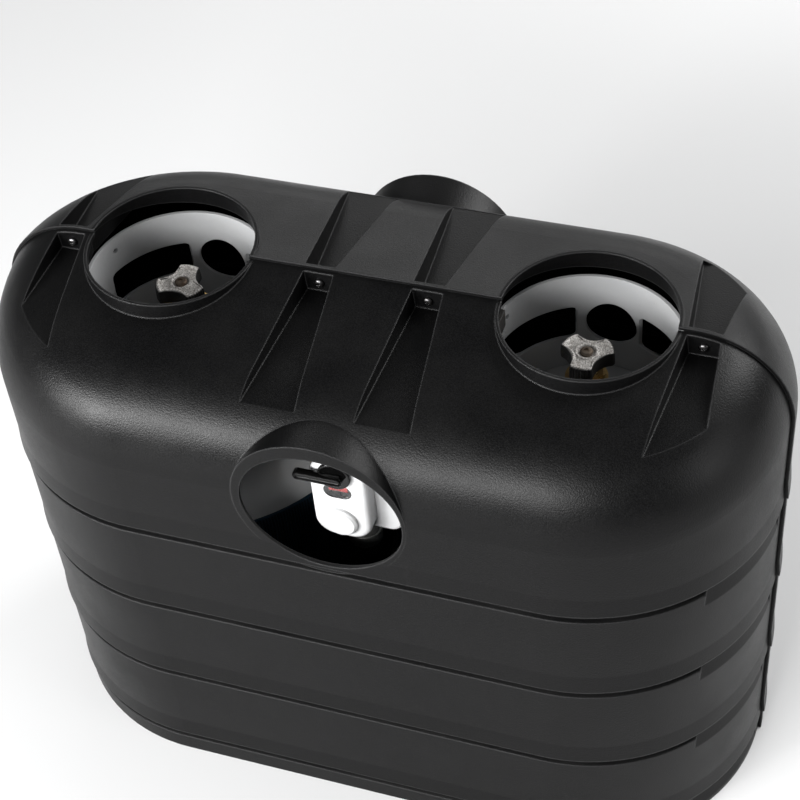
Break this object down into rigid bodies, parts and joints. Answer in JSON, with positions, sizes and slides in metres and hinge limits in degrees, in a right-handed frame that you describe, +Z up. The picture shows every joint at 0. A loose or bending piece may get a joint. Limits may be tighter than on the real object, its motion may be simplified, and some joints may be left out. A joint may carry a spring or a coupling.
{
  "type": "gas cylinder cover and rack",
  "caption": "Moulded lift-off cover over gas cylinders on a bolt-down rack, with hand holes above the valve wheels and a hooded window showing the changeover regulator.",
  "frame": {"origin": "middle of the underside, on the deck below the centre of the cover", "axes": "+X right seen from the front, -Y the front with the regulator window, +Z up"},
  "size_m": [0.6914, 0.3362, 0.5032],
  "materials": {
    "cover_plastic": "fine pebbled",
    "zinc_steel": "zinc plated",
    "rack_paint": "satin powder coat",
    "cylinder_paint": "satin",
    "net_plastic": "satin",
    "brass": "machined",
    "plug_plastic": "satin",
    "cast_aluminium": "as cast",
    "screw_steel": "weathered",
    "gear_plastic": "satin",
    "float_foam": "closed-cell foam",
    "white_plastic": "satin",
    "casting": "die cast",
    "diaphragm_rubber": "matt",
    "clear_lens": "clear",
    "red_flag": "satin",
    "lever_plastic": "gloss",
    "black_screw": "black oxide"
  },
  "bodies": {
    "rack": {"base_tray": "rack_paint", "centre_rod": "zinc_steel", "rod_nuts": "zinc_steel", "hold_down_bar": "rack_paint", "bar_washer": "zinc_steel", "left_upper_head": "cylinder_paint", "left_lower_head": "cylinder_paint", "left_net_sleeve": "net_plastic", "left_foot_ring": "cylinder_paint", "left_collar": "cylinder_paint", "left_valve_boss": "cylinder_paint", "left_valve_body": "brass", "left_valve_bonnet": "brass", "left_relief_valve": "brass", "left_float_housing": "gear_plastic", "right_upper_head": "cylinder_paint", "right_lower_head": "cylinder_paint", "right_net_sleeve": "net_plastic", "right_foot_ring": "cylinder_paint", "right_collar": "cylinder_paint", "right_valve_boss": "cylinder_paint", "right_valve_body": "brass", "right_valve_bonnet": "brass", "right_relief_valve": "brass", "right_float_housing": "gear_plastic", "regulator_cover": "white_plastic", "regulator_body": "casting", "regulator_inlets": "brass", "regulator_outlet": "casting", "regulator_diaphragm": "diaphragm_rubber", "diaphragm_plate": "casting", "regulator_spring": "screw_steel", "adjusting_cap": "white_plastic", "indicator_lens": "clear_lens", "indicator_flag": "red_flag", "regulator_bracket": "zinc_steel"},
    "cover": {"front_shell": "cover_plastic", "rear_shell": "cover_plastic", "seam_screws": "black_screw", "seam_nuts": "zinc_steel"},
    "wing_nut": {"wing_nut": "zinc_steel"},
    "lever": {"changeover_lever": "lever_plastic", "changeover_shaft": "zinc_steel"},
    "left_wheel": {"left_handwheel": "cast_aluminium", "left_spindle": "brass", "left_wheel_screw": "screw_steel"},
    "left_plug": {"left_seat_plug": "brass"},
    "left_float": {"left_float_arm": "gear_plastic", "left_float": "float_foam"},
    "left_bleeder": {"left_bleeder_screw": "brass"},
    "left_cap": {"left_outlet_plug": "plug_plastic"},
    "right_wheel": {"right_handwheel": "cast_aluminium", "right_spindle": "brass", "right_wheel_screw": "screw_steel"},
    "right_plug": {"right_seat_plug": "brass"},
    "right_float": {"right_float_arm": "gear_plastic", "right_float": "float_foam"},
    "right_bleeder": {"right_bleeder_screw": "brass"},
    "right_cap": {"right_outlet_plug": "plug_plastic"}
  },
  "joints": [
    {"name": "cover_lift", "type": "slide", "parent": "rack", "child": "cover", "axis": [0, 0, 1], "range_m": [0, 0.5]},
    {"name": "wing_nut_turn", "type": "hinge", "parent": "rack", "child": "wing_nut", "pos_m": [0, 0, 0.44], "axis": [0, 0, 1], "continuous": true},
    {"name": "lever_swing", "type": "hinge", "parent": "rack", "child": "lever", "pos_m": [0.005, -0.13, 0.4115], "axis": [0, 1, 0], "range_deg": [0, 180]},
    {"name": "left_wheel_turn", "type": "hinge", "parent": "rack", "child": "left_wheel", "pos_m": [-0.176, 0, 0.45], "axis": [0, 0, 1], "range_deg": [0, 540]},
    {"name": "left_plug_rise", "type": "slide", "parent": "left_wheel", "child": "left_plug", "axis": [0, 0, 1], "range_m": [0, 0.003]},
    {"name": "left_float_swing", "type": "hinge", "parent": "rack", "child": "left_float", "pos_m": [-0.176, 0.014, 0.342], "axis": [1, 0, 0], "range_deg": [0, 70]},
    {"name": "left_bleeder_turn", "type": "hinge", "parent": "rack", "child": "left_bleeder", "pos_m": [-0.152, 0, 0.4135], "axis": [1, 0, 0], "range_deg": [0, 360]},
    {"name": "left_outlet_plug_pull", "type": "slide", "parent": "rack", "child": "left_cap", "axis": [0, -1, 0], "range_m": [0, 0.045]},
    {"name": "right_wheel_turn", "type": "hinge", "parent": "rack", "child": "right_wheel", "pos_m": [0.176, 0, 0.45], "axis": [0, 0, 1], "range_deg": [0, 540]},
    {"name": "right_plug_rise", "type": "slide", "parent": "right_wheel", "child": "right_plug", "axis": [0, 0, 1], "range_m": [0, 0.003]},
    {"name": "right_float_swing", "type": "hinge", "parent": "rack", "child": "right_float", "pos_m": [0.176, 0.014, 0.342], "axis": [1, 0, 0], "range_deg": [0, 70]},
    {"name": "right_bleeder_turn", "type": "hinge", "parent": "rack", "child": "right_bleeder", "pos_m": [0.2, 0, 0.4135], "axis": [1, 0, 0], "range_deg": [0, 360]},
    {"name": "right_outlet_plug_pull", "type": "slide", "parent": "rack", "child": "right_cap", "axis": [0, -1, 0], "range_m": [0, 0.045]}
  ],
  "couplings": [
    {"joint": "left_plug_rise", "follows": "left_wheel_turn", "m_per_rad": 0.00031831},
    {"joint": "right_plug_rise", "follows": "right_wheel_turn", "m_per_rad": 0.00031831}
  ]
}
